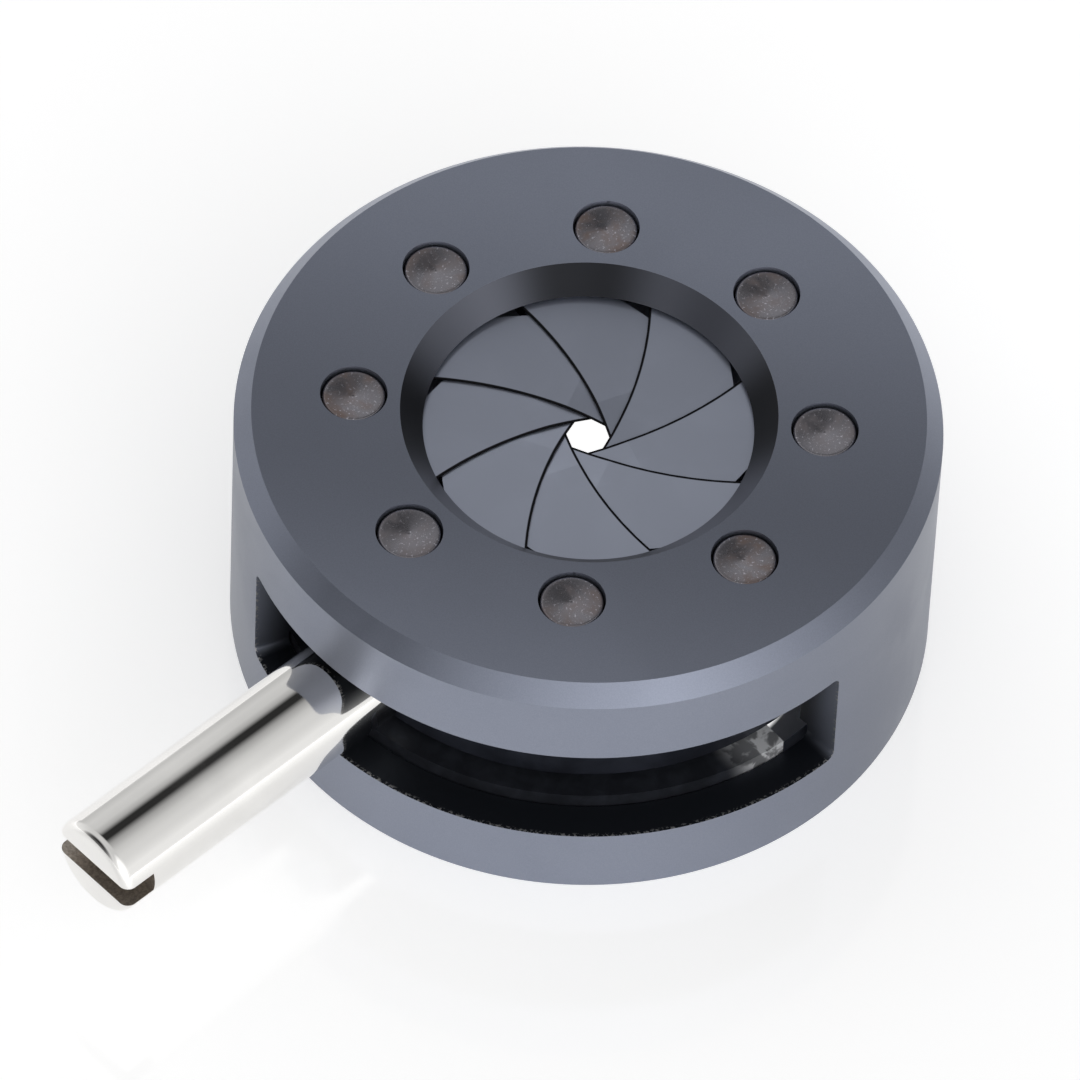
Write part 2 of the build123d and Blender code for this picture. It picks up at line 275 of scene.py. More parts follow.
class StageSettings(bpy.types.PropertyGroup):
    """The camera, floor and lights."""
    azimuth: FloatProperty(
        name="Azimuth", description="Direction of the camera from the object",
        default=radians(-80.7), unit="ROTATION",
    )
    elevation: FloatProperty(
        name="Elevation", description="Height of the camera above the horizon",
        default=radians(52.8), unit="ROTATION",
    )
    roll: FloatProperty(
        name="Roll", description="Turn of the camera about its view", default=radians(2.75), unit="ROTATION",
    )
    distance: FloatProperty(
        name="Distance", description="From the camera to the pin face", default=0.44, unit="LENGTH",
    )
    lens: FloatProperty(name="Lens", description="Focal length in millimetres", default=474.1)
    face_right: FloatProperty(
        name="Face Right", description="Pixels from the picture's centre to the face's, rightwards",
        default=49.3,
    )
    face_up: FloatProperty(
        name="Face Up", description="Pixels from the picture's centre to the face's, upwards", default=128.8,
    )
    picture_width: FloatProperty(
        name="Picture Width", description="Width of the picture in pixels", default=1080,
    )
    floor_size: FloatProperty(name="Floor Size", description="Side of the floor", default=6.0, unit="LENGTH")
    floor_lift: FloatProperty(
        name="Floor Lift", description="Light added to the floor as the camera sees it", default=0.47,
    )
    # Radius of the painted glow on the floor under the bore
    bore_glow: FloatProperty(
        name="Bore Glow", description="Radius of the white floor seen through the bore",
        default=0.0075, unit="LENGTH",
    )


def spun(points, segments, axis=(0, 0, 1), across=(1, 0, 0)):
    """A closed bmesh, turned from a profile of radius and height pairs about an axis through the origin."""
    bm = bmesh.new()
    verts = [bm.verts.new(Vector(across) * radius + Vector(axis) * height) for radius, height in points]
    edges = [bm.edges.new(pair) for pair in zip(verts, verts[1:] + verts[:1])]
    bmesh.ops.spin(
        bm, geom=verts + edges, cent=(0, 0, 0), axis=axis, angle=tau, steps=segments, use_merge=True,
    )
    bmesh.ops.remove_doubles(bm, verts=bm.verts, dist=1e-8)
    bmesh.ops.recalc_face_normals(bm, faces=bm.faces)
    return bm


def rounded_corner(centre, radius, start, end, steps):
    """Points of an arc of a profile, from one angle to another."""
    turns = [start + (end - start) * n / steps for n in range(steps + 1)]
    return [(centre[0] + radius * cos(turn), centre[1] + radius * sin(turn)) for turn in turns]


def object_of(name, bm):
    """A new object that holds a bmesh's mesh."""
    mesh = bpy.data.meshes.new(name)
    bm.to_mesh(mesh)
    bm.free()
    piece = bpy.data.objects.new(name, mesh)
    bpy.context.scene.collection.objects.link(piece)
    return piece


def apply_modifiers(piece):
    """Puts the result of a piece's modifiers into its mesh."""
    shown = piece.evaluated_get(bpy.context.evaluated_depsgraph_get())
    mesh = bpy.data.meshes.new_from_object(shown)
    piece.modifiers.clear()
    piece.data = mesh


def cut(piece, cutters):
    """Takes the cutters' shapes out of a piece."""
    for cutter in cutters:
        difference = piece.modifiers.new(cutter.name, "BOOLEAN")
        difference.object = cutter
        difference.operation = "DIFFERENCE"
        difference.solver = "EXACT"
    bpy.context.view_layer.update()
    apply_modifiers(piece)
    for cutter in cutters:
        bpy.data.objects.remove(cutter)


def break_edges(piece, width, segments=2, edge_slot=-1, limit=radians(32)):
    """Breaks the sharp edges and shades the rest smooth."""
    bevel = piece.modifiers.new("edge_break", "BEVEL")
    bevel.width = width
    bevel.segments = segments
    bevel.limit_method = "ANGLE"
    bevel.angle_limit = limit
    bevel.use_clamp_overlap = True
    bevel.material = edge_slot
    shade_smooth(piece, limit)


def shade_smooth(piece, limit=radians(32)):
    """Shades a piece smooth with its large faces flat, apart from edges sharper than a limit."""
    bpy.context.view_layer.update()
    apply_modifiers(piece)
    piece.data.polygons.foreach_set("use_smooth", [True] * len(piece.data.polygons))
    piece.data.set_sharp_from_angle(angle=limit)
    weighted = piece.modifiers.new("flat_faces", "WEIGHTED_NORMAL")
    weighted.mode = "FACE_AREA"
    weighted.weight = 100
    weighted.keep_sharp = True
    bpy.context.view_layer.update()
    apply_modifiers(piece)


def turned_normals(piece, edge_slot):
    """Gives flat and turned faces the normals of the true shape, and leaves the broken edges as they are."""
    mesh = piece.data
    normals = [corner.vector.copy() for corner in mesh.corner_normals]
    for face in mesh.polygons:
        if face.material_index == edge_slot:
            continue
        rise = face.normal.z
        level = Vector((face.normal.x, face.normal.y))
        outward = Vector((face.center.x, face.center.y)).normalized()
        slant = copysign(level.length, level.dot(outward))
        aside = level.cross(outward) if level.length > 0.01 else 0
        if abs(aside) > 0.02:
            continue
        for corner in face.loop_indices:
            place = mesh.vertices[mesh.loops[corner].vertex_index].co
            spoke = Vector((place.x, place.y)).normalized() * slant
            normals[corner] = Vector((spoke.x, spoke.y, rise)).normalized()
    mesh.normals_split_custom_set(normals)


def finish_piece(piece, body, slot, *nodes):
    """Lets a piece ride on its body and stand for its nodes."""
    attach(piece, body)
    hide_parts(*nodes)


def group_socket(tree, name, kind, way, default=None, low=None, high=None):
    """Adds a named socket to a node group."""
    socket = tree.interface.new_socket(name=name, in_out=way, socket_type=kind)
    if default is not None:
        socket.default_value = default
    if low is not None:
        socket.min_value = low
    if high is not None:
        socket.max_value = high


def add_node(tree, kind, **inputs):
    """Adds a node and sets its inputs by name."""
    node = tree.nodes.new(kind)
    for name, value in inputs.items():
        node.inputs[name.replace("_", " ").title()].default_value = value
    return node


def math_node(tree, operation, first, second=None, third=None, clamp=False):
    """Adds a math node whose inputs are sockets or numbers, and gives its output."""
    node = tree.nodes.new("ShaderNodeMath")
    node.operation = operation
    node.use_clamp = clamp
    for place, value in enumerate((first, second, third)):
        if isinstance(value, bpy.types.NodeSocket):
            tree.links.new(value, node.inputs[place])
        elif value is not None:
            node.inputs[place].default_value = value
    return node.outputs[0]


def ramp_between(tree, value, low, high, out_low=0.0, out_high=1.0, kind="SMOOTHSTEP"):
    """Maps a value from one range to another."""
    node = tree.nodes.new("ShaderNodeMapRange")
    node.interpolation_type = kind
    for name, number in (("From Min", low), ("From Max", high), ("To Min", out_low), ("To Max", out_high)):
        node.inputs[name].default_value = number
    tree.links.new(value, node.inputs["Value"])
    return node.outputs["Result"]


def mix_colours(tree, factor, first, second):
    """Mixes two colours, which are sockets or values, by a factor socket."""
    node = tree.nodes.new("ShaderNodeMix")
    node.data_type = "RGBA"
    tree.links.new(factor, node.inputs["Factor"])
    for name, value in (("A", first), ("B", second)):
        socket = next(s for s in node.inputs if s.name == name and s.type == "RGBA")
        if isinstance(value, bpy.types.NodeSocket):
            tree.links.new(value, socket)
        else:
            socket.default_value = (*value[:3], 1)
    return next(s for s in node.outputs if s.type == "RGBA")


def multiply_colours(tree, first, second):
    """Multiplies two colour sockets."""
    node = tree.nodes.new("ShaderNodeMix")
    node.data_type = "RGBA"
    node.blend_type = "MULTIPLY"
    node.inputs["Factor"].default_value = 1.0
    for name, value in (("A", first), ("B", second)):
        tree.links.new(value, next(s for s in node.inputs if s.name == name and s.type == "RGBA"))
    return next(s for s in node.outputs if s.type == "RGBA")


def axis_radius(tree, place):
    """A place's distance from the optical axis, as a socket, and the node that holds its X, Y and Z."""
    apart = tree.nodes.new("ShaderNodeSeparateXYZ")
    tree.links.new(place, apart.inputs[0])
    squared = math_node(tree, "MULTIPLY", apart.outputs["X"], apart.outputs["X"])
    squared = math_node(tree, "MULTIPLY_ADD", apart.outputs["Y"], apart.outputs["Y"], squared)
    return math_node(tree, "SQRT", squared), apart


def turned_lay_group():
    """Fine rings about the piece's axis, as a lathe leaves them: a height and a tone."""
    if "turned_lay" in bpy.data.node_groups:
        return bpy.data.node_groups["turned_lay"]
    tree = bpy.data.node_groups.new("turned_lay", "ShaderNodeTree")
    group_socket(tree, "Vector", "NodeSocketVector", "INPUT")
    group_socket(tree, "Rings per Metre", "NodeSocketFloat", "INPUT", 9000.0)
    group_socket(tree, "Unevenness", "NodeSocketFloat", "INPUT", 0.5, 0.0, 1.0)
    group_socket(tree, "Height", "NodeSocketFloat", "OUTPUT")
    group_socket(tree, "Tone", "NodeSocketFloat", "OUTPUT")
    inside, outside = tree.nodes.new("NodeGroupInput"), tree.nodes.new("NodeGroupOutput")
    radius, apart = axis_radius(tree, inside.outputs["Vector"])
    slope = math_node(tree, "ADD", radius, apart.outputs["Z"])
    noise = add_node(tree, "ShaderNodeTexNoise", detail=3.0, roughness=0.65)
    noise.noise_dimensions = "1D"
    rings = math_node(tree, "MULTIPLY", slope, inside.outputs["Rings per Metre"])
    tree.links.new(rings, noise.inputs["W"])
    noise.inputs["Scale"].default_value = 1.0
    broad = add_node(tree, "ShaderNodeTexNoise", scale=900.0, detail=2.0)
    tree.links.new(inside.outputs["Vector"], broad.inputs["Vector"])
    uneven = math_node(tree, "MULTIPLY", broad.outputs["Fac"], inside.outputs["Unevenness"])
    plain = math_node(tree, "SUBTRACT", 1.0, inside.outputs["Unevenness"])
    strength = math_node(tree, "ADD", uneven, plain)
    height = math_node(tree, "MULTIPLY", noise.outputs["Fac"], strength)
    tree.links.new(height, outside.inputs["Height"])
    tree.links.new(noise.outputs["Fac"], outside.inputs["Tone"])
    return tree


def fine_grain_group():
    """The fine even grain of blasted or anodised metal: a height and a tone."""
    if "fine_grain" in bpy.data.node_groups:
        return bpy.data.node_groups["fine_grain"]
    tree = bpy.data.node_groups.new("fine_grain", "ShaderNodeTree")
    group_socket(tree, "Vector", "NodeSocketVector", "INPUT")
    group_socket(tree, "Grains per Metre", "NodeSocketFloat", "INPUT", 30000.0)
    group_socket(tree, "Height", "NodeSocketFloat", "OUTPUT")
    group_socket(tree, "Tone", "NodeSocketFloat", "OUTPUT")
    inside, outside = tree.nodes.new("NodeGroupInput"), tree.nodes.new("NodeGroupOutput")
    noise = add_node(tree, "ShaderNodeTexNoise", detail=2.0, roughness=0.6)
    tree.links.new(inside.outputs["Vector"], noise.inputs["Vector"])
    tree.links.new(inside.outputs["Grains per Metre"], noise.inputs["Scale"])
    tree.links.new(noise.outputs["Fac"], outside.inputs["Height"])
    tree.links.new(ramp_between(tree, noise.outputs["Fac"], 0.3, 0.7), outside.inputs["Tone"])
    return tree


def handling_group():
    """Soft smudges and a few rubbed patches: a mask."""
    if "handling" in bpy.data.node_groups:
        return bpy.data.node_groups["handling"]
    tree = bpy.data.node_groups.new("handling", "ShaderNodeTree")
    group_socket(tree, "Vector", "NodeSocketVector", "INPUT")
    group_socket(tree, "Patches per Metre", "NodeSocketFloat", "INPUT", 220.0)
    group_socket(tree, "Mask", "NodeSocketFloat", "OUTPUT")
    inside, outside = tree.nodes.new("NodeGroupInput"), tree.nodes.new("NodeGroupOutput")
    noise = add_node(tree, "ShaderNodeTexNoise", detail=4.0, roughness=0.55, distortion=0.4)
    tree.links.new(inside.outputs["Vector"], noise.inputs["Vector"])
    tree.links.new(inside.outputs["Patches per Metre"], noise.inputs["Scale"])
    tree.links.new(ramp_between(tree, noise.outputs["Fac"], 0.35, 0.75), outside.inputs["Mask"])
    return tree


def place_group(tree, group, vector, **values):
    """Places a node group in a material, fed by a vector, with its own values."""
    node = tree.nodes.new("ShaderNodeGroup")
    node.node_tree = group
    tree.links.new(vector, node.inputs["Vector"])
    for name, value in values.items():
        node.inputs[name.replace("_", " ").replace("per metre", "per Metre")].default_value = value
    return node


def metal_material(name, metallic, roughness, specular=0.5, coat=0.0, coat_roughness=0.1):
    """A new material with its shader, and its Object coordinates."""
    material = bpy.data.materials.new(name)
    material.use_nodes = True
    tree = material.node_tree
    shader = tree.nodes["Principled BSDF"]
    shader.inputs["Metallic"].default_value = metallic
    shader.inputs["Roughness"].default_value = roughness
    shader.inputs["Specular IOR Level"].default_value = specular
    shader.inputs["Coat Weight"].default_value = coat
    shader.inputs["Coat Roughness"].default_value = coat_roughness
    coordinates = tree.nodes.new("ShaderNodeTexCoord").outputs["Object"]
    return material, tree, shader, coordinates


def turned_by(tree, vector, angle, centre=(0, 0, 0)):
    """Object coordinates about a centre, turned back by an angle, so that a pattern follows its piece."""
    shift = tree.nodes.new("ShaderNodeMapping")
    shift.inputs["Location"].default_value = tuple(-value for value in centre)
    tree.links.new(vector, shift.inputs["Vector"])
    turn = tree.nodes.new("ShaderNodeMapping")
    turn.inputs["Rotation"].default_value = (0, 0, -angle)
    tree.links.new(shift.outputs["Vector"], turn.inputs["Vector"])
    return turn.outputs["Vector"]


def add_bump(tree, shader, height, distance, strength=1.0):
    """Feeds a height into a bump on the shader's normal."""
    bump = tree.nodes.new("ShaderNodeBump")
    bump.inputs["Strength"].default_value = strength
    bump.inputs["Distance"].default_value = distance
    tree.links.new(height, bump.inputs["Height"])
    tree.links.new(bump.outputs["Normal"], shader.inputs["Normal"])


def dark_and_light(colour, share):
    """A colour's darker and lighter neighbours."""
    return [value * (1 - share) for value in colour], [value * (1 + share) for value in colour]


def shell_material(colour, outer_radius):
    """Slate satin anodising over a fine turned surface, with a painted sheen: its colour a little paler to the
    front and the back.
    """
    material, tree, shader, place = metal_material("slate_anodising", 0.85, 0.4)
    lay = place_group(tree, turned_lay_group(), place, Rings_per_metre=26000.0, Unevenness=0.6)
    grain = place_group(tree, fine_grain_group(), place, Grains_per_metre=26000.0)
    marks = place_group(tree, handling_group(), place, Patches_per_metre=160.0)
    apart = tree.nodes.new("ShaderNodeSeparateXYZ")
    tree.links.new(place, apart.inputs[0])
    # Painted light and shade: the colour grows paler away from the middle along Y, standing in for a sheen on the
    # face and barrel.
    far = math_node(tree, "ABSOLUTE", math_node(tree, "ADD", apart.outputs["Y"], outer_radius * 0.25))
    paler = ramp_between(tree, far, 0.0, outer_radius * 1.1)
    darker, lighter = dark_and_light(colour, 0.24)
    painted_sheen = mix_colours(tree, paler, darker, lighter)
    speck = mix_colours(tree, grain.outputs["Tone"], [0.95] * 3, [1.05] * 3)
    tree.links.new(multiply_colours(tree, painted_sheen, speck), shader.inputs["Base Color"])
    rough = ramp_between(tree, marks.outputs["Mask"], 0.0, 1.0, 0.37, 0.44)
    tree.links.new(rough, shader.inputs["Roughness"])
    height = math_node(tree, "MULTIPLY_ADD", grain.outputs["Height"], 0.5, lay.outputs["Height"])
    add_bump(tree, shader, height, 0.000001, 0.5)
    return material


def edge_material(colour):
    """Edges where the anodising is rubbed thin."""
    material, tree, shader, place = metal_material("rubbed_edge", 0.9, 0.34)
    marks = place_group(tree, handling_group(), place, Patches_per_metre=900.0)
    darker, lighter = dark_and_light(colour, 0.25)
    tree.links.new(mix_colours(tree, marks.outputs["Mask"], darker, lighter), shader.inputs["Base Color"])
    return material


# Fans of painted shade on the bore's slope, and the direction of one of them
FAN_COUNT = 4
FAN_TURN = radians(104.0)


def bore_material(colour):
    """The turned slope of the bore, with painted light and shade in four fans."""
    material, tree, shader, place = metal_material("bore_slope", 0.85, 0.42)
    lay = place_group(tree, turned_lay_group(), place, Rings_per_metre=26000.0, Unevenness=0.6)
    apart = tree.nodes.new("ShaderNodeSeparateXYZ")
    tree.links.new(place, apart.inputs[0])
    # Painted light and shade: the colour runs from near black to full in four fans round the bore.
    turn = math_node(tree, "ARCTAN2", apart.outputs["Y"], apart.outputs["X"])
    fans = math_node(tree, "COSINE", math_node(tree, "MULTIPLY_ADD", turn, FAN_COUNT, -FAN_COUNT * FAN_TURN))
    light = ramp_between(tree, fans, 0.95, -0.9)
    darker, lighter = [value * 0.12 for value in colour], list(colour)
    tree.links.new(mix_colours(tree, light, darker, lighter), shader.inputs["Base Color"])
    add_bump(tree, shader, lay.outputs["Height"], 0.000001, 0.5)
    return material


def window_material(shell, shade_black):
    """Faces of the window in painted shade: near black above and below, fading to the shell's colour at its ends.
    """
    material, tree, shader, place = metal_material("window_painted_shade", 0.7, 0.42)
    facing = tree.nodes.new("ShaderNodeSeparateXYZ")
    tree.links.new(tree.nodes.new("ShaderNodeNewGeometry").outputs["Normal"], facing.inputs[0])
    upright = math_node(tree, "SUBTRACT", 1.0, math_node(tree, "ABSOLUTE", facing.outputs["Z"]), clamp=True)
    radius, _ = axis_radius(tree, place)
    outer = HOUSING_HIGH.x
    outward = ramp_between(tree, radius, outer - 0.0014, outer)
    grain = place_group(tree, fine_grain_group(), place, Grains_per_metre=9000.0)
    at_rim = ramp_between(tree, radius, outer - 0.00016, outer - 0.00002)
    nicks = math_node(tree, "MULTIPLY", at_rim, ramp_between(tree, grain.outputs["Tone"], 0.55, 0.8))
    # Painted shade: the sill, the head and the inner faces take the near black colour; only upright faces near the
    # outside keep the shell's colour.
    tone = mix_colours(tree, math_node(tree, "MULTIPLY", outward, upright), shade_black, shell)
    tree.links.new(mix_colours(tree, nicks, tone, [0.4] * 3), shader.inputs["Base Color"])
    add_bump(tree, shader, grain.outputs["Height"], 0.000006, 0.6)
    return material


def ring_material(colour):
    """Black anodised drive ring with a faint turned lay."""
    material, tree, shader, place = metal_material("ring_black", 0.6, 0.36)
    lay = place_group(tree, turned_lay_group(), place, Rings_per_metre=30000.0, Unevenness=0.4)
    marks = place_group(tree, handling_group(), place, Patches_per_metre=500.0)
    darker, lighter = dark_and_light(colour, 0.3)
    tree.links.new(mix_colours(tree, marks.outputs["Mask"], darker, lighter), shader.inputs["Base Color"])
    tree.links.new(ramp_between(tree, marks.outputs["Mask"], 0.0, 1.0, 0.3, 0.42), shader.inputs["Roughness"])
    add_bump(tree, shader, lay.outputs["Height"], 0.000002, 0.5)
    return material


def leaf_material(colour, edge_and_shade_colour, sizes, number):
    """Satin sheet with a dark line along its hollow edge, laid out along its own leaf: the blackened edge with
    painted shade of the gap between leaves.
    """
    material, tree, shader, place = metal_material(f"leaf_satin_{number}", 0.85, 0.36)
    angle = sizes.first_angle + (number - 1) * LEAF_STEP
    own = turned_by(tree, place, angle)
    apart = tree.nodes.new("ShaderNodeSeparateXYZ")
    tree.links.new(own, apart.inputs[0])
    along = math_node(tree, "ADD", apart.outputs["X"], sizes.edge_radius - sizes.rest_aperture / 2)
    squared = math_node(tree, "MULTIPLY", along, along)
    squared = math_node(tree, "MULTIPLY_ADD", apart.outputs["Y"], apart.outputs["Y"], squared)
    distance = math_node(tree, "SUBTRACT", math_node(tree, "SQRT", squared), sizes.edge_radius)
    # Dark line: the blackened sheared edge together with painted shade of the gap between overlapping leaves.
    line = ramp_between(tree, distance, sizes.edge_line * 0.75, sizes.edge_line * 1.1, 1.0, 0.0)
    grain = place_group(tree, fine_grain_group(), own, Grains_per_metre=16000.0)
    marks = place_group(tree, handling_group(), own, Patches_per_metre=300.0)
    darker, lighter = dark_and_light(colour, 0.05)
    sheet = mix_colours(tree, marks.outputs["Mask"], darker, lighter)
    tree.links.new(mix_colours(tree, line, sheet, edge_and_shade_colour), shader.inputs["Base Color"])
    rough = ramp_between(tree, line, 0.0, 1.0, 0.36, 0.7)
    tree.links.new(rough, shader.inputs["Roughness"])
    add_bump(tree, shader, grain.outputs["Height"], 0.0000006, 0.4)
    return material


def rod_material(colour):
    """Polished steel with hair-fine marks along the rod."""
    material, tree, shader, place = metal_material("rod_polish", 1.0, 0.07)
    marks = place_group(tree, handling_group(), place, Patches_per_metre=260.0)
    grain = place_group(tree, fine_grain_group(), place, Grains_per_metre=9000.0)
    darker, lighter = dark_and_light(colour, 0.04)
    tree.links.new(mix_colours(tree, marks.outputs["Mask"], darker, lighter), shader.inputs["Base Color"])
    rough = ramp_between(tree, marks.outputs["Mask"], 0.0, 1.0, 0.05, 0.12)
    tree.links.new(rough, shader.inputs["Roughness"])
    add_bump(tree, shader, grain.outputs["Height"], 0.0000002, 0.3)
    return material


def slot_material(colour):
    """The sawn faces of the lever's slot."""
    material, tree, shader, place = metal_material("sawn_slot", 0.9, 0.4)
    grain = place_group(tree, fine_grain_group(), place, Grains_per_metre=14000.0)
    darker, lighter = dark_and_light(colour, 0.25)
    tree.links.new(mix_colours(tree, grain.outputs["Tone"], darker, lighter), shader.inputs["Base Color"])
    add_bump(tree, shader, grain.outputs["Height"], 0.000003, 0.6)
    return material


def pin_material(colour, warm, number, centre):
    """Ground pin end, more or less browned from pin to pin."""
    material, tree, shader, place = metal_material(f"pin_end_{number}", 0.9, 0.38)
    own = turned_by(tree, place, number * 1.3, centre)
    lay = place_group(tree, turned_lay_group(), own, Rings_per_metre=22000.0, Unevenness=0.7)
    marks = place_group(tree, handling_group(), own, Patches_per_metre=900.0 + 60.0 * number)
    grain = place_group(tree, fine_grain_group(), own, Grains_per_metre=12000.0)
    browned = math_node(tree, "MULTIPLY", marks.outputs["Mask"], 0.35 + 0.65 * (number % 3) / 2, clamp=True)
    tone = mix_colours(tree, browned, colour, warm)
    specks = ramp_between(tree, grain.outputs["Tone"], 0.86, 1.0)
    bright = mix_colours(tree, specks, tone, [value * 2.2 for value in colour])
    tree.links.new(bright, shader.inputs["Base Color"])
    rough = ramp_between(tree, marks.outputs["Mask"], 0.0, 1.0, 0.26, 0.42)
    tree.links.new(rough, shader.inputs["Roughness"])
    height = math_node(tree, "MULTIPLY_ADD", grain.outputs["Height"], 0.8, lay.outputs["Height"])
    add_bump(tree, shader, height, 0.000002, 0.6)
    return material


def spring_material(colour, glint_colour, glint_centre):
    """Blackened spring steel, with a painted glint: bright pale colour about the ring's end."""
    material, tree, shader, place = metal_material("ring_wire", 0.5, 0.34)
    lay = place_group(tree, turned_lay_group(), place, Rings_per_metre=18000.0, Unevenness=0.5)
    marks = place_group(tree, handling_group(), place, Patches_per_metre=1400.0)
    near = tree.nodes.new("ShaderNodeVectorMath")
    near.operation = "DISTANCE"
    tree.links.new(place, near.inputs[0])
    near.inputs[1].default_value = glint_centre
    # Painted glint: a bright pale patch of low metallic colour about the ring's end, standing in for a reflection.
    painted_glint = ramp_between(tree, near.outputs["Value"], 0.0006, 0.0018, 1.0, 0.0)
    patchy = ramp_between(tree, marks.outputs["Mask"], 0.15, 0.5, 0.35, 1.0)
    painted_glint = math_node(tree, "MULTIPLY", painted_glint, patchy)
    darker, lighter = dark_and_light(colour, 0.3)
    black = mix_colours(tree, marks.outputs["Mask"], darker, lighter)
    tree.links.new(mix_colours(tree, painted_glint, black, glint_colour), shader.inputs["Base Color"])
    tree.links.new(ramp_between(tree, painted_glint, 0.0, 1.0, 0.5, 0.2), shader.inputs["Metallic"])
    add_bump(tree, shader, lay.outputs["Height"], 0.000002, 0.5)
    return material


def set_material(node, material):
    """Gives a node of the frame its finish."""
    for slot in frame["nodes"][node].material_slots:
        slot.material = material


def window_cutter(sizes):
    """The shape of the lever's window: a block swept round the axis, with round corners at its ends."""
    bm = bmesh.new()
    inner = sizes.outer_radius - sizes.side_wall - sizes.groove_depth
    outer = sizes.outer_radius + sizes.groove_depth
    turn = Matrix.Rotation(sizes.window_start, 3, "Z")
    low, high = sizes.window_low, sizes.window_high
    corners = [(inner, low), (outer, low), (outer, high), (inner, high)]
    face = bm.faces.new([bm.verts.new(turn @ Vector((radius, 0, height))) for radius, height in corners])
    steps = round(sizes.around * sizes.window_sweep / tau)
    made = bmesh.ops.spin(
        bm, geom=[face], cent=(0, 0, 0), axis=(0, 0, 1), angle=sizes.window_sweep, steps=steps,
    )
    last = [item for item in made["geom_last"] if isinstance(item, bmesh.types.BMFace)]
    end_edges = [edge for end in [face, *last] for edge in end.edges]
    corner_edges = [edge for edge in end_edges if abs(edge.verts[0].co.z - edge.verts[1].co.z) < 1e-9]
    bmesh.ops.bevel(
        bm, geom=corner_edges, affect="EDGES",
        offset=sizes.window_corner, segments=8, profile=0.5, material=-1,
    )
    bmesh.ops.recalc_face_normals(bm, faces=bm.faces)
    for face in bm.faces:
        face.material_index = MILLED
    return object_of("window_cutter", bm)


def hole_cutter(sizes, place, number):
    """The shape of one pin hole."""
    bm = bmesh.new()
    shift = Matrix.Translation((place.x, place.y, sizes.height))
    bmesh.ops.create_cone(
        bm, cap_ends=True, segments=72, matrix=shift,
        radius1=sizes.pin_hole, radius2=sizes.pin_hole, depth=4 * sizes.front_plate,
    )
    return object_of(f"hole_cutter_{number}", bm)


# Places of the finishes on the housing
RUBBED_EDGE, BORE_WALL, MILLED = 1, 2, 3


class IRIS_OT_housing(bpy.types.Operator):
    """Make the turned housing, with its window, pin holes and snap ring groove"""
    bl_idname = "iris.housing"
    bl_label = "Housing"

    def execute(self, context):
        sizes, colours = context.scene.iris_housing, context.scene.iris_finishes
        cavity = sizes.outer_radius - sizes.side_wall
        plate_under = sizes.height - sizes.front_plate
        groove = cavity + sizes.groove_depth
        profile = [
            (cavity, 0.0),
            (sizes.outer_radius, 0.0),
            (sizes.outer_radius, sizes.height - sizes.chamfer_axial),
            (sizes.outer_radius - sizes.chamfer_radial, sizes.height),
            (sizes.bore_radius + sizes.bore_flare, sizes.height),
            (sizes.bore_radius, plate_under),
            (cavity, plate_under),
            (cavity, SNAP_HIGH.z + sizes.groove_gap),
            (groove, SNAP_HIGH.z + sizes.groove_gap),
            (groove, SNAP_LOW.z - sizes.groove_gap),
            (cavity, SNAP_LOW.z - sizes.groove_gap),
        ]
        bm = spun(profile, sizes.around)
        bore_mouth = sizes.bore_radius + sizes.bore_flare
        for face in bm.faces:
            middle = face.calc_center_median()
            if plate_under < middle.z < sizes.height and middle.xy.length < bore_mouth:
                face.material_index = BORE_WALL
        shell = object_of("housing_shell", bm)
        for finish in (
            shell_material(colours.shell, sizes.outer_radius),
            edge_material(colours.shell_edge),
            bore_material(colours.bore),
            window_material(colours.shell, colours.window),
        ):
            shell.data.materials.append(finish)
        places = [hinge_place(f"leaf_{number}_swing") for number in range(1, LEAF_COUNT + 1)]
        holes = [hole_cutter(sizes, place, number) for number, place in enumerate(places, 1)]
        cut(shell, [window_cutter(sizes), *holes])
        break_edges(shell, sizes.edge_break, edge_slot=RUBBED_EDGE)
        turned_normals(shell, RUBBED_EDGE)
        finish_piece(shell, "case", "anodised_shell", "housing")
        return {"FINISHED"}


class IRIS_OT_lever(bpy.types.Operator):
    """Make the polished lever, with its slotted round end"""
    bl_idname = "iris.lever"
    bl_label = "Lever"

    def execute(self, context):
        sizes, colours = context.scene.iris_lever, context.scene.iris_finishes
        end = sizes.reach
        end_corner = (sizes.radius - sizes.end_round, end - sizes.end_round)
        profile = [
            (0.0, sizes.seat - sizes.shank_length),
            (sizes.shank_radius, sizes.seat - sizes.shank_length),
            (sizes.shank_radius, sizes.seat),
            (sizes.radius, sizes.seat),
            *rounded_corner(end_corner, sizes.end_round, 0, pi / 2, 12),
            (0.0, end),
        ]
        bm = spun(profile, sizes.around)
        away = lever_direction()
        sideways = Vector((0, 0, 1)).cross(away)
        lay_down = Matrix((sideways, Vector((0, 0, 1)), away)).transposed().to_4x4()
        lay_down.translation = (0, 0, box_middle("lever_rod").z)
        slot_bm = bmesh.new()
        sawn_slot = 1
        slot_box = Matrix.Diagonal((4 * sizes.radius, sizes.slot_width, 2 * sizes.slot_depth, 1))
        bmesh.ops.create_cube(slot_bm, size=1, matrix=Matrix.Translation((0, 0, end)) @ slot_box)
        for face in slot_bm.faces:
            face.material_index = sawn_slot
        for part in (bm, slot_bm):
            bmesh.ops.transform(part, matrix=lay_down, verts=part.verts)
        bmesh.ops.recalc_face_normals(bm, faces=bm.faces)
        bmesh.ops.recalc_face_normals(slot_bm, faces=slot_bm.faces)
        rod = object_of("lever_polished", bm)
        cutter = object_of("slot_cutter", slot_bm)
        finishes = (rod_material(colours.rod), slot_material(colours.slot))
        for part in (rod, cutter):
            for finish in finishes:
                part.data.materials.append(finish)
        cut(rod, [cutter])
        break_edges(rod, sizes.edge_break, segments=3, edge_slot=0)
        finish_piece(rod, "drive", "polished_rod", "lever_rod")
        return {"FINISHED"}


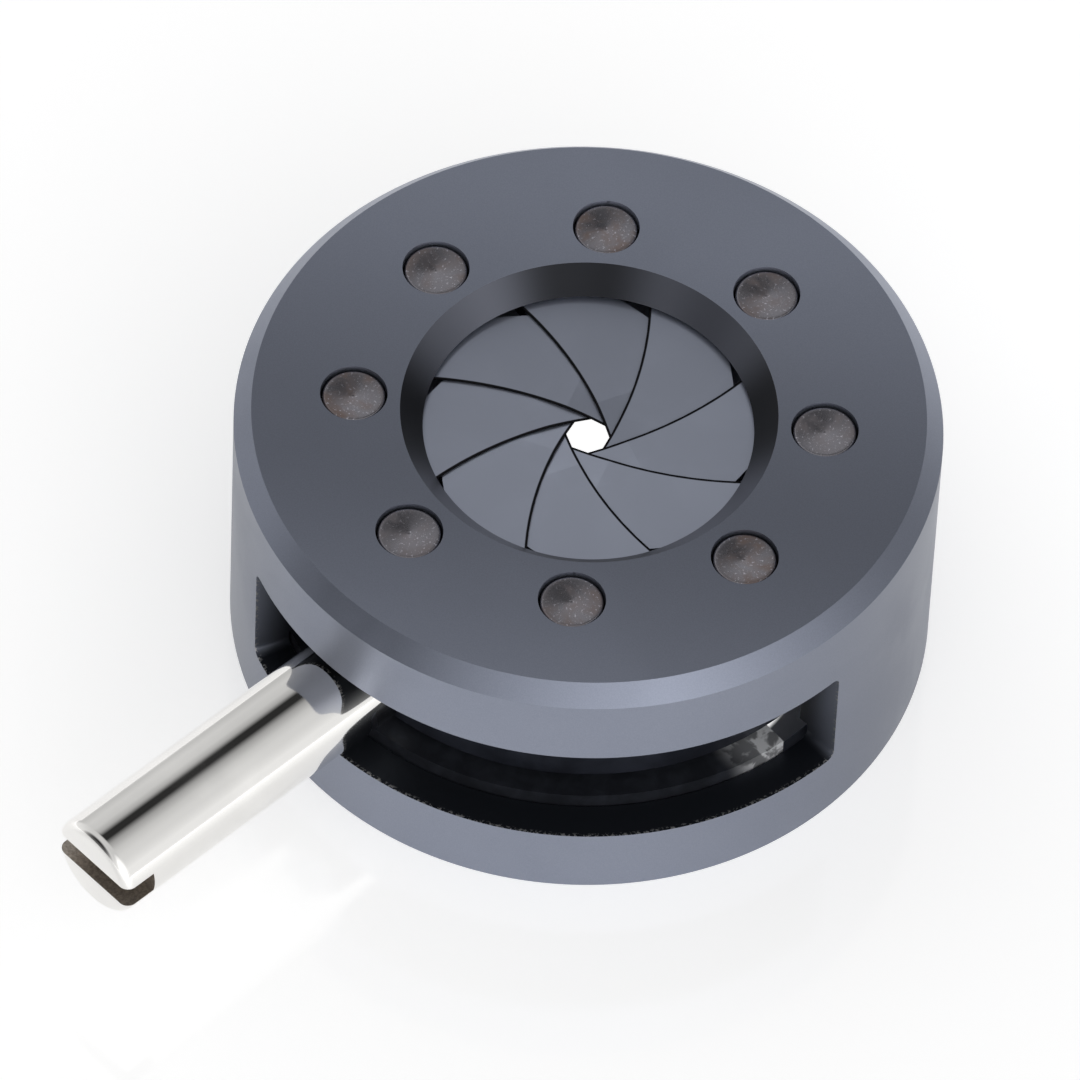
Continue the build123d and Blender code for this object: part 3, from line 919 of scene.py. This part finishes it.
class IRIS_OT_pivot_pins(bpy.types.Operator):
    """Make the pivot pins, whose ground ends lie just below the face"""
    bl_idname = "iris.pivot_pins"
    bl_label = "Pivot Pins"

    def execute(self, context):
        sizes, colours = context.scene.iris_pins, context.scene.iris_finishes
        head = (PIN_HIGH.x - PIN_LOW.x) / 2
        plate_under = context.scene.iris_housing.height - context.scene.iris_housing.front_plate
        rim_corner = (head - sizes.rim_round, PIN_HIGH.z - sizes.rim_round)
        profile = [
            (0.0, PIN_LOW.z),
            (sizes.neck_radius, PIN_LOW.z),
            (sizes.neck_radius, plate_under),
            (head, plate_under),
            *rounded_corner(rim_corner, sizes.rim_round, 0, pi / 2, 4),
            (head - 2 * sizes.rim_round, PIN_HIGH.z - sizes.dish),
            (1.5 * sizes.mark_radius, PIN_HIGH.z - sizes.dish),
            (sizes.mark_radius, PIN_HIGH.z - 2 * sizes.dish),
            (0.0, PIN_HIGH.z - 3 * sizes.dish),
        ]
        for number in range(1, LEAF_COUNT + 1):
            place = hinge_place(f"leaf_{number}_swing")
            bm = spun(profile, sizes.around)
            bmesh.ops.translate(bm, vec=(place.x, place.y, 0), verts=bm.verts)
            pin = object_of(f"pivot_pin_end_{number}", bm)
            pin.data.materials.append(pin_material(colours.pin, colours.pin_warm, number, place))
            shade_smooth(pin)
            finish_piece(pin, f"leaf_{number}", "pin_steel", f"pivot_pin_{number}")
        return {"FINISHED"}


class IRIS_OT_leaves(bpy.types.Operator):
    """Finish the leaves and their drive pins"""
    bl_idname = "iris.leaves"
    bl_label = "Leaves"

    def execute(self, context):
        sizes, colours = context.scene.iris_leaves, context.scene.iris_finishes
        for number in range(1, LEAF_COUNT + 1):
            set_material(f"blade_{number}", leaf_material(colours.leaf, colours.leaf_edge, sizes, number))
            centre = box_middle(f"drive_pin_{number}")
            steel = pin_material(colours.spring, colours.pin, number + LEAF_COUNT, centre)
            set_material(f"drive_pin_{number}", steel)
        return {"FINISHED"}


# How far back from the window's end the painted glint at the snap ring's end lies, and how far inside the wall
SNAP_END_BACK = radians(8.0)
SNAP_END_INSET = 0.0004


def snap_ring_glint_centre():
    """The centre of the painted glint at the snap ring's end in the window, beside the window's far corner."""
    cutting = bpy.context.scene.iris_housing
    turn = cutting.window_start + cutting.window_sweep - SNAP_END_BACK
    radius = (SNAP_HIGH.x + cutting.outer_radius - cutting.side_wall) / 2 - SNAP_END_INSET
    return Vector((radius * cos(turn), radius * sin(turn), SNAP_HIGH.z))


class IRIS_OT_drive_ring(bpy.types.Operator):
    """Finish the black drive ring and the snap ring"""
    bl_idname = "iris.drive_ring"
    bl_label = "Drive Ring"

    def execute(self, context):
        colours = context.scene.iris_finishes
        set_material("drive_ring", ring_material(colours.ring))
        set_material("snap_ring", spring_material(colours.spring_black, colours.snap_glint, snap_ring_glint_centre()))
        return {"FINISHED"}


def direction_of(azimuth, elevation):
    """The unit vector at an azimuth and an elevation."""
    return Vector((cos(elevation) * cos(azimuth), cos(elevation) * sin(azimuth), sin(elevation)))


def camera_axes(stage):
    """The camera's backward, right and up directions."""
    back = direction_of(stage.azimuth, stage.elevation)
    right = Vector((-sin(stage.azimuth), cos(stage.azimuth), 0))
    up = back.cross(right)
    rolled_right = cos(stage.roll) * right + sin(stage.roll) * up
    rolled_up = cos(stage.roll) * up - sin(stage.roll) * right
    return back, rolled_right, rolled_up


def add_camera(stage, target):
    """A long lens at the picture's own angle, aimed so that the pin face falls where it does there."""
    data = bpy.data.cameras.new("view")
    data.sensor_width = 36.0
    data.lens = stage.lens
    data.clip_start, data.clip_end = 0.01, 20.0
    camera = bpy.data.objects.new("view", data)
    bpy.context.scene.collection.objects.link(camera)
    back, right, up = camera_axes(stage)
    metres_per_pixel = stage.distance * data.sensor_width / stage.lens / stage.picture_width
    place = target + back * stage.distance
    place -= (right * stage.face_right + up * stage.face_up) * metres_per_pixel
    turn = Matrix((right, up, back)).transposed().to_4x4()
    camera.matrix_world = Matrix.Translation(place) @ turn
    bpy.context.scene.camera = camera


def floor_material(stage, housing):
    """A pale floor that keeps the object's shadow and a faint reflection of it, with a painted glow in a disc
    under the bore.
    """
    material, tree, shader, place = metal_material("pale_floor", 0.0, 0.09, specular=1.0)
    shader.inputs["Base Color"].default_value = (0.82, 0.82, 0.82, 1)
    path = tree.nodes.new("ShaderNodeLightPath")
    seen = math_node(tree, "MAXIMUM", path.outputs["Is Camera Ray"], path.outputs["Is Glossy Ray"])
    seen = math_node(tree, "MAXIMUM", seen, path.outputs["Is Transmission Ray"])
    radius, _ = axis_radius(tree, place)
    # Painted light: the floor glows white in a disc under the bore, where the housing's shadow falls.
    painted_glow_under_bore = ramp_between(tree, radius, stage.bore_glow, stage.bore_glow * 1.03, 1.0, 0.0)
    edge = housing.outer_radius
    around = ramp_between(tree, radius, edge * 0.96, edge, 0.0, stage.floor_lift)
    glow = math_node(tree, "MAXIMUM", painted_glow_under_bore, around)
    tree.links.new(math_node(tree, "MULTIPLY", seen, glow), shader.inputs["Emission Strength"])
    shader.inputs["Emission Color"].default_value = (1, 1, 1, 1)
    return material


# Strips of light and flags that lie along the lever: angle about it from the camera, and level
STRIPS = (
    (-180, 0.90), (-112, 0.63), (-92, 0.75), (-70, 0.70), (-57, 0.48), (-47, 0.03), (-34, 0.03),
    (-22, 0.42), (-5, 0.70), (22, 0.92), (45, 1.22), (64, 1.18), (110, 0.90), (180, 0.90),
)
STRIP_SCALE = 1.3

# Broad lights and flags of the surround: azimuth, elevation, half angle of core and of edge, level added
LOBES = (
    (-55, 27, 6, 34, 0.6),
    (-66, 4, 6, 40, 0.7),
    (-144, 18, 10, 36, -0.8),
    (25, 8, 8, 45, -0.55),
)


def dot_with(tree, direction, way):
    """The share of a direction that lies along a way."""
    dot = tree.nodes.new("ShaderNodeVectorMath")
    dot.operation = "DOT_PRODUCT"
    tree.links.new(direction, dot.inputs[0])
    dot.inputs[1].default_value = way
    return dot.outputs["Value"]


def strip_lights(tree, direction, view):
    """Light in strips along the lever, and a mask of where in the surround the lever's side mirrors them."""
    along = lever_direction()
    front = (view - along * view.dot(along)).normalized()
    across = along.cross(front)
    if across.z > 0:
        across.negate()
    turn = math_node(tree, "ARCTAN2", dot_with(tree, direction, across), dot_with(tree, direction, front))
    share = math_node(tree, "MULTIPLY_ADD", turn, 1 / tau, 0.5)
    ramp = tree.nodes.new("ShaderNodeValToRGB")
    tree.links.new(share, ramp.inputs["Fac"])
    stops = ramp.color_ramp.elements
    while len(stops) < len(STRIPS):
        stops.new(0.5)
    for stop, (angle, level) in zip(stops, STRIPS):
        stop.position = (angle + 180) / 360
        stop.color = (level / STRIP_SCALE, level / STRIP_SCALE, level / STRIP_SCALE, 1)
    level = math_node(tree, "MULTIPLY", ramp.outputs["Color"], STRIP_SCALE)
    off_cone = math_node(tree, "ADD", dot_with(tree, direction, along), view.dot(along))
    return level, ramp_between(tree, math_node(tree, "ABSOLUTE", off_cone), 0.15, 0.5, 1.0, 0.0)


def add_world(stage):
    """A soft studio surround: pale at the horizon, dimmer overhead, with strips of light along the lever."""
    world = bpy.data.worlds.new("studio")
    bpy.context.scene.world = world
    world.use_nodes = True
    tree = world.node_tree
    background = tree.nodes["Background"]
    direction = tree.nodes.new("ShaderNodeTexCoord").outputs["Generated"]
    apart = tree.nodes.new("ShaderNodeSeparateXYZ")
    tree.links.new(direction, apart.inputs[0])
    plain = ramp_between(tree, apart.outputs["Z"], 0.0, 0.9, 0.95, 0.72)
    strips, mask = strip_lights(tree, direction, camera_axes(stage)[0])
    level = math_node(tree, "MULTIPLY", mask, math_node(tree, "SUBTRACT", strips, plain))
    level = math_node(tree, "ADD", plain, level)
    for azimuth, elevation, core, edge, added in LOBES:
        toward = dot_with(tree, direction, direction_of(radians(azimuth), radians(elevation)))
        lobe = ramp_between(tree, toward, cos(radians(edge)), cos(radians(core)), 0.0, added)
        level = math_node(tree, "ADD", level, lobe)
    tree.links.new(math_node(tree, "MAXIMUM", level, 0.0), background.inputs["Strength"])
    background.inputs["Color"].default_value = (1, 1, 1, 1)
    return world


class IRIS_OT_stage(bpy.types.Operator):
    """Set the floor, the lights and the camera"""
    bl_idname = "iris.stage"
    bl_label = "Stage"

    def execute(self, context):
        stage, housing = context.scene.iris_stage, context.scene.iris_housing
        face_centre = Vector((0, 0, housing.height))
        add_camera(stage, face_centre)
        bm = bmesh.new()
        bmesh.ops.create_grid(bm, x_segments=1, y_segments=1, size=stage.floor_size / 2)
        floor = object_of("floor", bm)
        floor.data.materials.append(floor_material(stage, housing))
        add_world(stage)
        context.scene.view_settings.view_transform = "Standard"
        return {"FINISHED"}


STEPS = (
    IRIS_OT_housing, IRIS_OT_drive_ring, IRIS_OT_lever, IRIS_OT_leaves, IRIS_OT_pivot_pins, IRIS_OT_stage,
)


class IRIS_PT_panel(bpy.types.Panel):
    """Lists the pieces of the iris diaphragm"""
    bl_idname = "IRIS_PT_panel"
    bl_label = "Iris Diaphragm"
    bl_space_type = "VIEW_3D"
    bl_region_type = "UI"
    bl_category = "Iris"

    def draw(self, context):
        for step in STEPS:
            self.layout.operator(step.bl_idname)


GROUPS = {
    "iris_housing": HousingSizes,
    "iris_lever": LeverSizes,
    "iris_pins": PinSizes,
    "iris_leaves": LeafSizes,
    "iris_finishes": Finishes,
    "iris_stage": StageSettings,
}


def register():
    for cls in (*GROUPS.values(), *STEPS, IRIS_PT_panel):
        bpy.utils.register_class(cls)
    for name, group in GROUPS.items():
        setattr(bpy.types.Scene, name, PointerProperty(type=group))


def unregister():
    for name in GROUPS:
        delattr(bpy.types.Scene, name)
    for cls in reversed((*GROUPS.values(), *STEPS, IRIS_PT_panel)):
        bpy.utils.unregister_class(cls)


def main():
    register()
    bpy.ops.iris.housing()
    bpy.ops.iris.drive_ring()
    bpy.ops.iris.lever()
    bpy.ops.iris.leaves()
    bpy.ops.iris.pivot_pins()
    bpy.ops.iris.stage()


if __name__ == "__main__":
    main()
